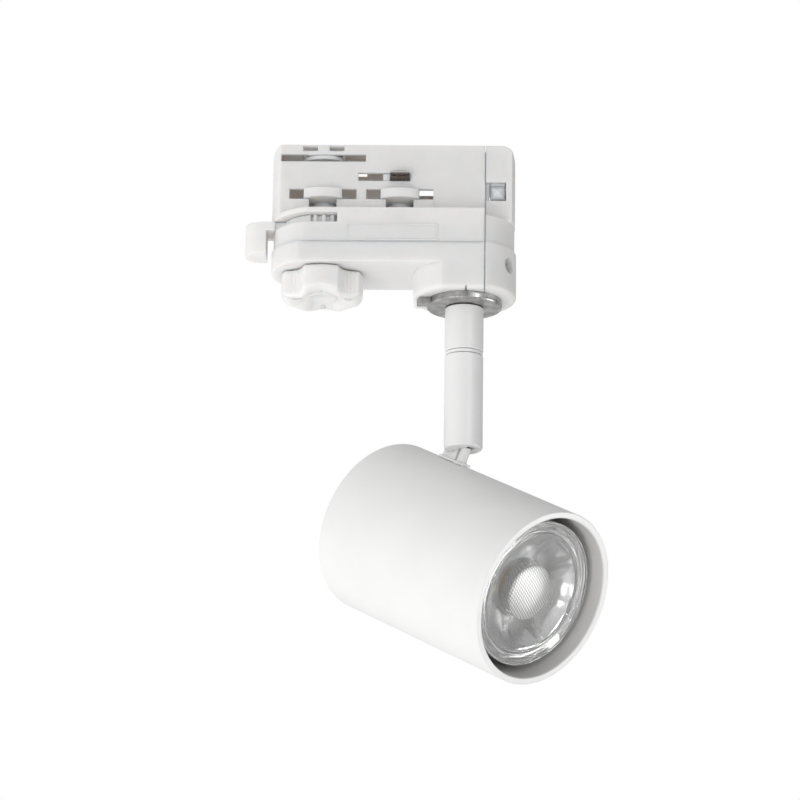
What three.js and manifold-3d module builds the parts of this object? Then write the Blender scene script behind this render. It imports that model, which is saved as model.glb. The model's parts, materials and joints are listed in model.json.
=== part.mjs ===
// A track spotlight: a three-circuit track adapter with its lock lever, lock cams and phase knob,
// a stem that swivels, and a tube that tilts under the stem and holds a GU10 reflector lamp.
// Millimetres, +Z up. The origin is on the stem's axis, in the flat top face of the adapter.
// X runs along the track towards the stem's end, and the adapter's front faces -Y.
import * as THREE from "three";
import { mergeVertices } from "three/addons/utils/BufferGeometryUtils.js";
import Module from "manifold-3d";

const wasm = await Module();
wasm.setup();

// ---------------------------------------------------------------- driving dimensions

const WALL = 1.6;
const GAP = 0.3; // clearance between pieces that move on each other
const SEAM = 0.2; // between the end cap and the other shells
const HAIRLINE = 0.08; // between the housing and the base cover

// The adapter, from its top down
const LIP_TOP = -25.4;
const END_LIP_TOP = -27.8;
const SLOT_ROOF = -27.1;
const BAND_TOP = -30.7;
const COVER_TOP = -37.7;
const COVER_FLOOR = -44.8;
const BOSS_FLOOR = -54.2;

// The adapter in plan
const KNOB_X = -49.17; // axis of the lever, the left cam and the phase selector
const CAM_X = -22.6; // axis of the right cam
const SEAM_X = 6.95; // where the end cap starts
const BLOCK_HALF = 8.5;
const BLOCK_LEFT = -67.0;
const BLOCK_RIGHT = 17.3;
const BLOCK_LEFT_ARC = 13.9;
const BLOCK_RIGHT_ARC = 30.7;
const HALF_WIDTH = 16.1;
const BAND_ARC = 17.1;
const COVER_ARC = 17.75;
const ARC_STEPS = 18; // facets on each end arc of the band, the cover and the boss
const BOSS_RIM = 1.6; // rounding of the boss's lower edge
const BOSS_CORNER = 9.2; // how far back the boss's square left corner reaches

// The cams and their slots
const SLOT_TOP = -16.1;
const SLOT_BOTTOM = -20.0;
const SLOT_HALF_LENGTH = 11.6;
const NECK_SLOT_HALF = 4.8;
const RAISED = 0.5; // the band under the cam slots stands this far out of the block
const CAM_WIDTH = 13.2;
const CAM_REACH = 11.4;
const NECK_RADIUS = 4.6;
const TEETH = 28; // on a full circle; only sectors are cut
const MESH_ANGLE = THREE.MathUtils.degToRad(3.1); // of the lever's tooth nearest the line of centres
const PITCH_RADIUS = (CAM_X - KNOB_X) / 2;
const TIP_RADIUS = PITCH_RADIUS + 0.6;
const ROOT_RADIUS = PITCH_RADIUS - 0.9;
const GEAR_TOP = SLOT_ROOF - GAP;
const GEAR_BOTTOM = BAND_TOP + GAP;

// The lever's handle
const HANDLE_INNER = -68.7;
const HANDLE_CREASE = -70.3;
const HANDLE_TIP = -76.1;
const HANDLE_HALF = 6;
const ARM_FRONT = -5.1; // inside the shell the arm clears the window's edge at 90 degrees
const ARM_STEP = KNOB_X - 16.5; // where the arm narrows to that
const HANDLE_BOTTOM = -38.6;

// The phase selector
const PHASE_SLOT_TOP = -3.4;
const PHASE_SLOT_BOTTOM = -6.1;
const PHASE_SLOT_HALF = 14.7;
const ROTOR_SLOT_TOP = -0.5;
const ROTOR_SLOT_BOTTOM = -2.2;
const ROTOR_SLOT_HALF = 7.15;
const ROTOR_BRIDGE_HALF = 2.05; // of the wall left standing in the middle of that slot
const ROTOR_ROOM = 6.75; // radius of the hollow that the rotor turns in
const ROTOR_BOTTOM = -7.6;
const KNOB_TOP = COVER_FLOOR - 0.5;
const KNOB_BOTTOM = -54.5;
const KNOB_REACH = 14.3;
const KNOB_HOLLOW = 2.5; // how far the outline falls back between two lobes
const SHAFT_RADIUS = 3.0;

// The neutral contact
const NEUTRAL_SLOT_TOP = -10.1;
const NEUTRAL_SLOT_BOTTOM = -13.1;
const NEUTRAL_SLOT_LEFT = -37;
const NEUTRAL_SLOT_RIGHT = -19;
const NEUTRAL_REACH = 12.6;
const CARRIER_RADIUS = 6.6; // the plastic disc that carries the contact
const SPINDLE_RADIUS = 3.4; // of the cam gear's spindle, which the right cam and the contact sit on
const SPINDLE_BORE = SPINDLE_RADIUS + 0.1;

// The latch pegs in the end cap's window
const WINDOW_RIGHT = 14.1;
const WINDOW_TOP = -13.3;
const WINDOW_BOTTOM = -20.2;
const PEG_SIZE = 5.3;
const PEG_X = 11.2;
const PEG_Z = -17.2;

// The stem
const STEM_RADIUS = 6.65;
const RING_BOTTOM = -56.7;
const RING_RADIUS = 13.0;
const UPPER_TOP = -57.0;
const UPPER_BOTTOM = -72.55;
const SWIVEL_SHOULDER = -71; // inside the upper stem; the swivel's washer and nut rest on it
const SWIVEL_SEAM = 0.25; // above and below the swivel ring
const LOWER_TOP = -74.1;
const LOWER_BOTTOM = -107.3;
const NIPPLE_RADIUS = 5.0;
const PAN = THREE.MathUtils.degToRad(-40.3); // heading of the lamp's mouth, from +X

// The hinge and the tube
const PIVOT_Z = -103.4;
const TILT = THREE.MathUtils.degToRad(26.9); // the mouth's fall below level
const SLOT_HALF = 2.2;
const TUBE_RADIUS = 30;
const TUBE_BORE = 27.85;
const TUBE_LENGTH = 79.6;
const TUBE_AXIS = -38.4; // below the pivot, square to the tube
const TUBE_MOUTH = 59.4; // ahead of the pivot
const TUBE_TOP = TUBE_AXIS + TUBE_RADIUS;
const POST_X = -3.0;
const SLEEVE_X = 2.85;
const SLEEVE_RADIUS = 1.75;

// The GU10 lamp
const LAMP_RADIUS = 25;
const LAMP_FRONT = TUBE_MOUTH - 4.8;
const LAMP_BACK = LAMP_FRONT - 46.5;
const PIN_SPACING = 10;
const SOCKET_FRONT = LAMP_BACK - GAP;
const SOCKET_BACK = -6.8;

// ---------------------------------------------------------------- materials

const finish = (color, roughness, metalness = 0) =>
  new THREE.MeshStandardMaterial({ color, roughness, metalness, flatShading: true });

const plastic = finish(0xe9e8e6, 0.45);
const paint = finish(0xefefed, 0.5);
const steel = finish(0xb4b5b6, 0.3, 1);
const brass = finish(0xc9a24a, 0.35, 1);
const copper = finish(0xb87345, 0.35, 1);
const ceramic = finish(0xf2efe6, 0.6);
const glass = finish(0xdfe6e8, 0.1);
const insulation = finish(0xf4f4f2, 0.7);
const earthYellow = finish(0xb9c24a, 0.7);
const board = finish(0xf0f0ea, 0.6);
const phosphor = finish(0xf2c84b, 0.5);

// ---------------------------------------------------------------- solids

// A closed geometry as a solid; one whose faces point inwards is turned inside out.
function solid(geometry) {
  const open = geometry.index ? geometry.toNonIndexed() : geometry;
  const bare = new THREE.BufferGeometry().setAttribute("position", open.getAttribute("position"));
  const merged = mergeVertices(bare, 1e-4);
  const corners = merged.index.array;
  const kept = [];
  for (let i = 0; i < corners.length; i += 3) {
    const [a, b, c] = corners.slice(i, i + 3);
    if (a !== b && b !== c && c !== a) kept.push(a, b, c);
  }
  const vertProperties = new Float32Array(merged.attributes.position.array);
  const build = (order) =>
    new wasm.Manifold(new wasm.Mesh({ numProp: 3, vertProperties, triVerts: new Uint32Array(order) }));
  const made = build(kept);
  return made.volume() >= 0 ? made : build(kept.reverse());
}

const cut = (body, ...tools) => tools.reduce((rest, tool) => rest.subtract(tool), body);
const join = (body, ...others) => others.reduce((sum, other) => sum.add(other), body);

// A plan outline between two heights.
function prism(outline, low, high, curveSegments = 8) {
  const depth = high - low;
  const geometry = new THREE.ExtrudeGeometry(outline, { depth, bevelEnabled: false, curveSegments });
  return solid(geometry.translate(0, 0, low));
}

// An outline drawn in X and Z, between two values of Y.
function sidePrism(outline, near, far, curveSegments = 6) {
  const depth = far - near;
  const geometry = new THREE.ExtrudeGeometry(outline, { depth, bevelEnabled: false, curveSegments });
  return solid(geometry.rotateX(Math.PI / 2).translate(0, far, 0));
}

function box(x0, x1, y0, y1, z0, z1) {
  const geometry = new THREE.BoxGeometry(x1 - x0, y1 - y0, z1 - z0);
  return solid(geometry.translate((x0 + x1) / 2, (y0 + y1) / 2, (z0 + z1) / 2));
}

// A straight rod between two points.
function rod(radius, from, to, sides = 16) {
  const start = new THREE.Vector3(...from);
  const along = new THREE.Vector3(...to).sub(start);
  const geometry = new THREE.CylinderGeometry(radius, radius, along.length(), sides);
  const turn = new THREE.Quaternion().setFromUnitVectors(
    new THREE.Vector3(0, 1, 0),
    along.clone().normalize(),
  );
  geometry.applyQuaternion(turn);
  return solid(geometry.translate(...start.addScaledVector(along, 0.5)));
}

const upright = (radius, low, high, x = 0, y = 0, sides = 16) =>
  rod(radius, [x, y, low], [x, y, high], sides);

// A ring or tube standing on Z.
const sleeve = (outer, inner, low, high, x = 0, sides = 20) =>
  cut(upright(outer, low, high, x, 0, sides), upright(inner, low - 1, high + 1, x, 0, sides));

// A hexagonal nut standing on Z.
const nut = (acrossCorners, bore, low, high, x = 0) =>
  cut(upright(acrossCorners / 2, low, high, x, 0, 6), upright(bore, low - 1, high + 1, x));

// A profile of [radius, height] pairs turned round Z.
function turned(profile, sides = 32) {
  const points = profile.map(([radius, height]) => new THREE.Vector2(radius, height));
  return solid(new THREE.LatheGeometry(points, sides).rotateX(Math.PI / 2));
}

// A profile of [radius, distance] pairs turned round the tube's axis.
function turnedOnTube(profile, sides = 36) {
  const points = profile.map(([radius, distance]) => new THREE.Vector2(radius, distance));
  const geometry = new THREE.LatheGeometry(points, sides).rotateZ(-Math.PI / 2);
  return solid(geometry.translate(0, 0, TUBE_AXIS));
}

// A round lead along a smooth curve through a few points.
function lead(radius, points, steps = 14) {
  const path = new THREE.CatmullRomCurve3(points.map((p) => new THREE.Vector3(...p)));
  const section = new THREE.Shape().absarc(0, 0, radius, 0, 2 * Math.PI, false);
  const geometry = new THREE.ExtrudeGeometry(section, {
    extrudePath: path,
    steps,
    curveSegments: 4,
    bevelEnabled: false,
  });
  return solid(geometry);
}

function roundedBox(x0, y0, x1, y1, radii) {
  const [a, b, c, d] = radii; // lower left, lower right, upper right, upper left
  const outline = new THREE.Shape();
  outline.moveTo(x0 + a, y0);
  outline.lineTo(x1 - b, y0);
  if (b) outline.absarc(x1 - b, y0 + b, b, -Math.PI / 2, 0, false);
  outline.lineTo(x1, y1 - c);
  if (c) outline.absarc(x1 - c, y1 - c, c, 0, Math.PI / 2, false);
  outline.lineTo(x0 + d, y1);
  if (d) outline.absarc(x0 + d, y1 - d, d, Math.PI / 2, Math.PI, false);
  outline.lineTo(x0, y0 + a);
  if (a) outline.absarc(x0 + a, y0 + a, a, Math.PI, 1.5 * Math.PI, false);
  return outline;
}

// A solid as a named mesh.
function node(name, body, material) {
  const { vertProperties, triVerts } = body.getMesh();
  const geometry = new THREE.BufferGeometry()
    .setAttribute("position", new THREE.BufferAttribute(vertProperties, 3))
    .setIndex(new THREE.BufferAttribute(triVerts, 1));
  const mesh = new THREE.Mesh(geometry, material);
  mesh.name = name;
  return mesh;
}

// ---------------------------------------------------------------- the adapter's shells

// Two straight sides and two arcs, one round the stem and one round the knob.
function adapterOutline(radius, inset = 0) {
  const half = HALF_WIDTH - inset;
  const angle = Math.asin(half / (radius - inset));
  const outline = new THREE.Shape();
  outline.absarc(0, 0, radius - inset, -angle, angle, false);
  outline.absarc(KNOB_X, 0, radius - inset, Math.PI - angle, Math.PI + angle, false);
  outline.closePath();
  return outline;
}

// The block in plan: flat sides and two gently rounded ends.
function blockOutline(inset = 0) {
  const half = BLOCK_HALF - inset;
  const right = BLOCK_RIGHT_ARC - inset;
  const left = BLOCK_LEFT_ARC - inset;
  const rightAngle = Math.asin(half / right);
  const leftAngle = Math.asin(half / left);
  const outline = new THREE.Shape();
  outline.absarc(BLOCK_RIGHT - BLOCK_RIGHT_ARC, 0, right, -rightAngle, rightAngle, false);
  outline.absarc(BLOCK_LEFT + BLOCK_LEFT_ARC, 0, left, Math.PI - leftAngle, Math.PI + leftAngle, false);
  outline.closePath();
  return outline;
}

// The block in side view, with its two rounded top corners.
function blockBody(inset, bottom) {
  const side = roundedBox(BLOCK_LEFT + inset, bottom - 1, BLOCK_RIGHT - inset, -inset, [0, 0, 5, 4]);
  return prism(blockOutline(inset), bottom, -inset).intersect(sidePrism(side, -20, 20));
}

// The boss round the stem, with a small square corner at its rear left and a rounded lower rim.
// Its right end follows the cover's own arc, facet for facet.
function bossBody(inset, bottom, top, rim) {
  const radius = COVER_ARC - inset;
  const half = HALF_WIDTH - inset;
  const angle = Math.asin(half / radius);
  const outline = new THREE.Shape();
  const corner = BOSS_CORNER - inset;
  outline.absarc(0, 0, radius, -angle, angle, false);
  const rear = new THREE.Path();
  rear.absarc(0, 0, radius, Math.PI - angle, Math.PI - Math.asin(corner / radius), false);
  for (const { x, y } of rear.getPoints(6)) outline.lineTo(x, y);
  outline.lineTo(-radius, corner);
  outline.absarc(0, 0, radius, Math.PI, Math.PI + angle, false);
  outline.closePath();
  const depth = top - bottom;
  const geometry = new THREE.ExtrudeGeometry(outline, {
    depth,
    bevelThickness: rim,
    bevelSize: rim,
    bevelOffset: -rim,
    bevelSegments: 4,
    curveSegments: ARC_STEPS,
  });
  const below = box(-40, 40, -40, 40, bottom - 1, top);
  return solid(geometry.translate(0, 0, bottom + rim)).intersect(below);
}

// A cut right through the block's two faces.
const slot = (middle, half, low, high) => box(middle - half, middle + half, -20, 20, low, high);

function camSlots(axis) {
  return [
    slot(axis, SLOT_HALF_LENGTH, SLOT_BOTTOM, SLOT_TOP),
    slot(axis, NECK_SLOT_HALF, LIP_TOP, SLOT_BOTTOM + 1),
  ];
}

// The band or the cover: the adapter's outline between two heights.
const shellSlice = (radius, low, high, inset = 0) =>
  prism(adapterOutline(radius, inset), low, high, ARC_STEPS);

// The shell's hollow, or at a larger inset a body that fills it with a gap all round.
const cavity = (inset) => [
  blockBody(inset, LIP_TOP),
  shellSlice(BAND_ARC, COVER_FLOOR + inset, BAND_TOP - 1.3, inset),
  bossBody(inset, BOSS_FLOOR + 0.2 + inset, COVER_FLOOR + inset + 0.1, 1),
];

// The whole shell, before it is parted into housing, end cap and base cover.
function wholeShell() {
  const lipEnd = box(SEAM_X, 40, -30, 30, END_LIP_TOP, LIP_TOP + 1);
  const lip = cut(shellSlice(BAND_ARC, BAND_TOP, LIP_TOP), lipEnd);
  const proud = BLOCK_HALF + RAISED;
  const raised = box(
    KNOB_X - SLOT_HALF_LENGTH,
    CAM_X + SLOT_HALF_LENGTH,
    -proud,
    proud,
    LIP_TOP,
    SLOT_BOTTOM,
  );
  const outside = join(
    blockBody(0, END_LIP_TOP),
    raised,
    lip,
    shellSlice(BAND_ARC, COVER_TOP, BAND_TOP),
    shellSlice(COVER_ARC, COVER_FLOOR, COVER_TOP),
    bossBody(0, BOSS_FLOOR, COVER_FLOOR, BOSS_RIM),
  );
  const gearRoom = (x) => upright(TIP_RADIUS + 0.8, BAND_TOP, SLOT_ROOF, x, 0, 32);
  const neckBore = (x) => upright(NECK_RADIUS + GAP, SLOT_ROOF - 1, LIP_TOP + 1, x);
  const leverMouth = box(-90, KNOB_X + 5.4, -30, HANDLE_HALF + 0.4, BAND_TOP, SLOT_ROOF);
  const wireWay = upright(4, BAND_TOP - 2, LIP_TOP + 1);
  const neutralSlot = box(
    NEUTRAL_SLOT_LEFT,
    NEUTRAL_SLOT_RIGHT,
    -20,
    0,
    NEUTRAL_SLOT_BOTTOM,
    NEUTRAL_SLOT_TOP,
  );
  return cut(
    outside,
    ...cavity(WALL),
    gearRoom(KNOB_X),
    gearRoom(CAM_X),
    leverMouth,
    ...camSlots(KNOB_X),
    ...camSlots(CAM_X),
    neckBore(KNOB_X),
    neckBore(CAM_X),
    upright(SHAFT_RADIUS + GAP, COVER_FLOOR - 1, BAND_TOP + 1, KNOB_X),
    wireWay,
    upright(ROTOR_ROOM, PHASE_SLOT_TOP, ROTOR_SLOT_TOP, KNOB_X, 0, 20),
    cut(
      slot(KNOB_X, ROTOR_SLOT_HALF, ROTOR_SLOT_BOTTOM, ROTOR_SLOT_TOP),
      slot(KNOB_X, ROTOR_BRIDGE_HALF, ROTOR_SLOT_BOTTOM - 1, 0),
    ),
    slot(KNOB_X, PHASE_SLOT_HALF, PHASE_SLOT_BOTTOM, PHASE_SLOT_TOP),
    neutralSlot,
    neutralSlot.translate([-CAM_X, 0, 0]).rotate([0, 0, 180]).translate([CAM_X, 0, 0]),
    box(0.35, 0.85, -20, -11, BOSS_FLOOR - 1, BOSS_FLOOR + 1), // a slit in the boss's lower rim
    box(SEAM_X - 0.1, WINDOW_RIGHT, -20, 20, WINDOW_BOTTOM, WINDOW_TOP),
    upright(NIPPLE_RADIUS + 0.2, BOSS_FLOOR - 1, BOSS_FLOOR + 3),
  );
}

// The end screw runs in from the boss's right front, square to its surface.
const SCREW_ANGLE = THREE.MathUtils.degToRad(-29);
const SCREW_Z = -43.8;
const onScrewAxis = (distance) => [
  distance * Math.cos(SCREW_ANGLE),
  distance * Math.sin(SCREW_ANGLE),
  SCREW_Z,
];

// A tongue on the end cap that reaches behind the seam, round the shell's inside.
function seamTongue() {
  const reach = 1.4;
  const thick = 0.8;
  const [left, right] = [SEAM_X - reach, SEAM_X + reach];
  const middle = SEAM_X + SEAM;
  const hollow = join(...cavity(WALL + thick));
  const screwRoom = box(left - 1, middle, -20, 0.5, SCREW_Z - 3, SCREW_Z + 3.4);
  const nutRoom = box(left - 1, middle, -5, 5, BOSS_FLOOR, BOSS_FLOOR + 5);
  const inside = join(...cavity(WALL + 0.15)).intersect(join(...cavity(WALL)));
  const free = inside.intersect(box(left, middle, -30, 30, -70, 0));
  const rooted = join(...cavity(WALL - 0.1)).intersect(box(middle, right, -30, 30, -70, 0));
  return cut(join(free, rooted), hollow, screwRoom, nutRoom);
}

function adapterShells() {
  const shell = wholeShell();
  const left = SEAM_X - SEAM / 2;
  const right = SEAM_X + SEAM / 2;
  const above = box(-90, left, -30, 30, COVER_TOP + HAIRLINE / 2, 10);
  const below = box(-90, left, -30, 30, -70, COVER_TOP - HAIRLINE / 2);
  const beyond = box(right, 40, -30, 30, -70, 10);

  const screwRib = box(3.6, left, -15, 0, -46.3, -41);
  const screwHole = rod(1.35, onScrewAxis(2), onScrewAxis(12), 12);
  const baseCover = cut(join(shell.intersect(below), screwRib.intersect(below)), screwHole);

  const access = rod(3.9, onScrewAxis(6), onScrewAxis(16.4)).intersect(beyond);
  const accessBore = rod(2.9, onScrewAxis(10.4), onScrewAxis(22), 24);
  const springRib = box(9.4, BLOCK_RIGHT - WALL, -0.5, 0.5, PEG_Z - 2, PEG_Z + 2);
  const endCap = cut(
    join(shell.intersect(beyond), access, springRib, seamTongue()),
    accessBore,
    screwHole,
  );

  return [
    node("adapter_housing", shell.intersect(above), plastic),
    node("base_cover", baseCover, plastic),
    node("end_cap", endCap, plastic),
    node("end_screw", screwAlong(onScrewAxis(10.5), onScrewAxis(5.2), 2.5, 1.2), steel),
  ];
}

// A screw with a drilled head: head on the outer side of `seat`, shank from there to `tip`.
function screwAlong(seat, tip, headRadius, shankRadius, headHeight = 1.6) {
  const start = new THREE.Vector3(...seat);
  const out = start.clone().sub(new THREE.Vector3(...tip)).normalize();
  const at = (distance) => start.clone().addScaledVector(out, distance).toArray();
  const head = rod(headRadius, at(0), at(headHeight), 20);
  const socket = rod(headRadius * 0.45, at(headHeight * 0.4), at(headHeight + 1), 6);
  return cut(join(head, rod(shankRadius, tip, at(0.4), 16)), socket);
}

// ---------------------------------------------------------------- the lock: lever, gears and cams

// Half of a tooth's angle at a radius: an involute flank, slightly thinned for backlash.
function toothHalfAngle(radius) {
  const pressure = THREE.MathUtils.degToRad(20);
  const base = PITCH_RADIUS * Math.cos(pressure);
  const involute = (angle) => Math.tan(angle) - angle;
  const local = Math.acos(Math.min(1, base / Math.max(radius, base)));
  return (Math.PI / (2 * TEETH)) * 0.86 + involute(pressure) - involute(local);
}

// A toothed sector on a round blank. Teeth stand at the angle `first` and then one pitch apart,
// and the blank fills the rest of the circle between its own two angles.
function gearOutline(first, count, blank) {
  const outline = new THREE.Shape();
  const radii = [ROOT_RADIUS, ROOT_RADIUS + 0.7, PITCH_RADIUS, TIP_RADIUS];
  const point = (radius, angle) => [radius * Math.cos(angle), radius * Math.sin(angle)];
  outline.moveTo(...point(ROOT_RADIUS, blank.to));
  for (let tooth = 0; tooth < count; tooth++) {
    const middle = first + (tooth * 2 * Math.PI) / TEETH;
    for (const radius of radii) outline.lineTo(...point(radius, middle - toothHalfAngle(radius)));
    for (const radius of [...radii].reverse()) {
      outline.lineTo(...point(radius, middle + toothHalfAngle(radius)));
    }
  }
  outline.lineTo(...point(ROOT_RADIUS, blank.from));
  outline.lineTo(...point(blank.radius, blank.from));
  outline.absarc(0, 0, blank.radius, blank.from, blank.to + 2 * Math.PI, false);
  outline.closePath();
  return outline;
}

// A mushroom cam: two flat flanks and two ends on a circle round its axis.
function camBody(axis, bore) {
  const angle = Math.acos(CAM_WIDTH / 2 / CAM_REACH);
  const outline = new THREE.Shape();
  outline.absarc(0, 0, CAM_REACH, angle, Math.PI - angle, false);
  outline.absarc(0, 0, CAM_REACH, Math.PI + angle, 2 * Math.PI - angle, false);
  outline.closePath();
  const cap = prism(outline, SLOT_BOTTOM + GAP, SLOT_TOP - GAP, 10);
  return cut(cap, upright(bore, SLOT_BOTTOM - 1, SLOT_TOP + 1)).translate([axis, 0, 0]);
}

// The handle in plan, from an inner edge out to its blunt point.
function handleOutline(inner) {
  const outline = new THREE.Shape();
  outline.moveTo(inner, -HANDLE_HALF);
  outline.lineTo(inner, HANDLE_HALF);
  outline.lineTo(HANDLE_CREASE, HANDLE_HALF);
  outline.quadraticCurveTo(HANDLE_TIP, HANDLE_HALF * 0.75, HANDLE_TIP, 0);
  outline.quadraticCurveTo(HANDLE_TIP, -HANDLE_HALF * 0.75, HANDLE_CREASE, -HANDLE_HALF);
  outline.closePath();
  return outline;
}

const TOOTH_PITCH = (2 * Math.PI) / TEETH;

function lockLever() {
  const outline = gearOutline(MESH_ANGLE - 8 * TOOTH_PITCH, 9, {
    radius: TIP_RADIUS,
    from: 0.3,
    to: -1.86,
  });
  const hub = upright(NECK_RADIUS, GEAR_BOTTOM, SLOT_BOTTOM + GAP, KNOB_X, 0, 24);
  const room = join(
    box(HANDLE_TIP, ARM_STEP, -HANDLE_HALF, HANDLE_HALF, GEAR_BOTTOM, GEAR_TOP),
    box(ARM_STEP, KNOB_X, ARM_FRONT, HANDLE_HALF, GEAR_BOTTOM, GEAR_TOP),
  );
  const arm = prism(handleOutline(KNOB_X - 10), GEAR_BOTTOM, GEAR_TOP).intersect(room);
  const body = join(
    prism(outline, GEAR_BOTTOM, GEAR_TOP, 16).translate([KNOB_X, 0, 0]),
    arm,
    prism(handleOutline(HANDLE_INNER), HANDLE_BOTTOM, GEAR_TOP),
    hub,
  );
  return cut(body, upright(SHAFT_RADIUS + GAP, GEAR_BOTTOM - 1, SLOT_TOP, KNOB_X));
}

function camGear() {
  const blank = { radius: 8.5, from: 1.56 * Math.PI, to: 2.85 };
  const outline = gearOutline(Math.PI - MESH_ANGLE - TOOTH_PITCH / 2, 9, blank);
  const carrierTop = NEUTRAL_SLOT_BOTTOM - 0.2;
  // A post beside the contact: narrow enough below to turn inside the walls, and above that
  // it stands out into the slot.
  const guardSlice = (reach, low, high) =>
    box(-5.9, -3.5, -8.1, 0, low, high).intersect(upright(reach, low - 1, high + 1, 0, 0, 24));
  const guard = join(
    guardSlice(CARRIER_RADIUS, carrierTop - 0.5, NEUTRAL_SLOT_TOP - 0.3),
    guardSlice(9.6, NEUTRAL_SLOT_BOTTOM + 0.25, NEUTRAL_SLOT_TOP - 0.25),
  );
  return join(
    prism(outline, GEAR_BOTTOM, GEAR_TOP, 12),
    upright(NECK_RADIUS, GEAR_BOTTOM, SLOT_BOTTOM + GAP, 0, 0, 24),
    upright(SPINDLE_RADIUS, SLOT_BOTTOM, NEUTRAL_SLOT_TOP + 0.7, 0, 0, 20),
    upright(CARRIER_RADIUS, carrierTop - 1.4, carrierTop, 0, 0, 24),
    guard,
  ).translate([CAM_X, 0, 0]);
}

// A strip folded over at its nose, with a long upper leaf that reaches the shaft and a lower
// leaf that steps down to the carrier. The nose is arched across its width.
function neutralContact() {
  const half = 3.3;
  const thick = 0.6;
  const arch = 8.2;
  const top = NEUTRAL_SLOT_TOP - 0.2;
  const bottom = NEUTRAL_SLOT_BOTTOM + 0.2;
  const nose = 0.8;
  const middle = -NEUTRAL_REACH + nose;
  const knee = middle + 1.6;
  const heel = knee + 1.2;
  const upperEnd = -2.6;
  const lowerEnd = -4.4;
  const fold = new THREE.Shape();
  fold.moveTo(upperEnd, top);
  fold.lineTo(middle, top);
  fold.absarc(middle, top - nose, nose, Math.PI / 2, 1.5 * Math.PI, false);
  fold.lineTo(knee, top - 2 * nose);
  fold.lineTo(heel, bottom);
  fold.lineTo(lowerEnd, bottom);
  fold.lineTo(lowerEnd, bottom + thick);
  fold.lineTo(heel + thick / 2, bottom + thick);
  fold.lineTo(knee + thick / 2, top - 2 * nose + thick);
  fold.lineTo(middle, top - 2 * nose + thick);
  fold.absarc(middle, top - nose, nose - thick, 1.5 * Math.PI, Math.PI / 2, true);
  fold.lineTo(upperEnd, top - thick);
  fold.closePath();
  // Drawn in X and Z, then turned so that its nose points to -Y.
  const strip = sidePrism(fold, -half, half, 10).rotate([0, 0, 90]);
  const arched = strip.intersect(rod(arch, [0, -20, top - arch], [0, 20, top - arch], 72));
  return cut(arched, upright(SPINDLE_BORE, -20, 0, 0, 0, 24)).translate([CAM_X, 0, 0]);
}

function lockParts() {
  return [
    node("lock_lever", lockLever(), plastic),
    node("lock_cam_left", camBody(KNOB_X, SHAFT_RADIUS + GAP), plastic),
    node("cam_gear", camGear(), plastic),
    node("lock_cam_right", camBody(CAM_X, SPINDLE_BORE), plastic),
    node("neutral_contact", neutralContact(), steel),
  ];
}

// ---------------------------------------------------------------- the phase selector

// Four lobes with ribbed hollows between them.
function knobOutline() {
  const outline = new THREE.Shape();
  const steps = 112;
  for (let i = 0; i < steps; i++) {
    const angle = (i / steps) * 2 * Math.PI;
    const hollow = (1 - Math.cos(4 * angle)) / 2;
    const rib = hollow > 0.6 ? (i % 2) * 0.3 : 0;
    const radius = KNOB_REACH - KNOB_HOLLOW * hollow ** 1.5 - rib;
    const place = [radius * Math.cos(angle), radius * Math.sin(angle)];
    if (i) outline.lineTo(...place);
    else outline.moveTo(...place);
  }
  outline.closePath();
  return outline;
}

// The knob's end is a shallow dish with a rolled rim.
function phaseKnob() {
  const beyond = KNOB_REACH + 1;
  const end = turned(
    [
      [0, KNOB_BOTTOM + 2.4],
      [5, KNOB_BOTTOM + 2.1],
      [8, KNOB_BOTTOM + 1.45],
      [10, KNOB_BOTTOM + 0.75],
      [11.6, KNOB_BOTTOM + 0.1],
      [12.4, KNOB_BOTTOM],
      [13.4, KNOB_BOTTOM + 0.5],
      [KNOB_REACH, KNOB_BOTTOM + 1.6],
      [beyond, KNOB_BOTTOM + 3],
      [beyond, KNOB_TOP + 1],
      [0, KNOB_TOP + 1],
    ],
    40,
  );
  const body = prism(knobOutline(), KNOB_BOTTOM, KNOB_TOP).intersect(end);
  const seat = upright(SHAFT_RADIUS + 0.05, KNOB_TOP - 5, KNOB_TOP + 1);
  return cut(body, seat).translate([KNOB_X, 0, 0]);
}

function phaseParts() {
  const flangeTop = PHASE_SLOT_TOP - 0.1;
  const flangeBottom = flangeTop - 1.3;
  const rotor = turned([
    [0, ROTOR_BOTTOM],
    [SHAFT_RADIUS + 0.2, ROTOR_BOTTOM],
    [5.1, PHASE_SLOT_BOTTOM + 0.2],
    [5.1, flangeBottom],
    [8.1, flangeBottom],
    [8.1, flangeTop],
    [5, flangeTop],
    [5, ROTOR_SLOT_BOTTOM + 0.1],
    [6.4, ROTOR_SLOT_BOTTOM + 0.1],
    [6.4, ROTOR_SLOT_TOP - 0.2],
    [0, ROTOR_SLOT_TOP - 0.2],
  ]).translate([KNOB_X, 0, 0]);
  const blade = box(KNOB_X + 5.3, KNOB_X + 13.6, -2.2, 2.2, flangeBottom - 0.9, flangeBottom);
  return [
    node("phase_knob", phaseKnob(), plastic),
    node("phase_shaft", upright(SHAFT_RADIUS, KNOB_TOP - 4.8, ROTOR_BOTTOM, KNOB_X, 0, 24), plastic),
    node("phase_rotor", rotor, plastic),
    node("phase_contact", blade, brass),
  ];
}

// ---------------------------------------------------------------- the latch pegs

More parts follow.
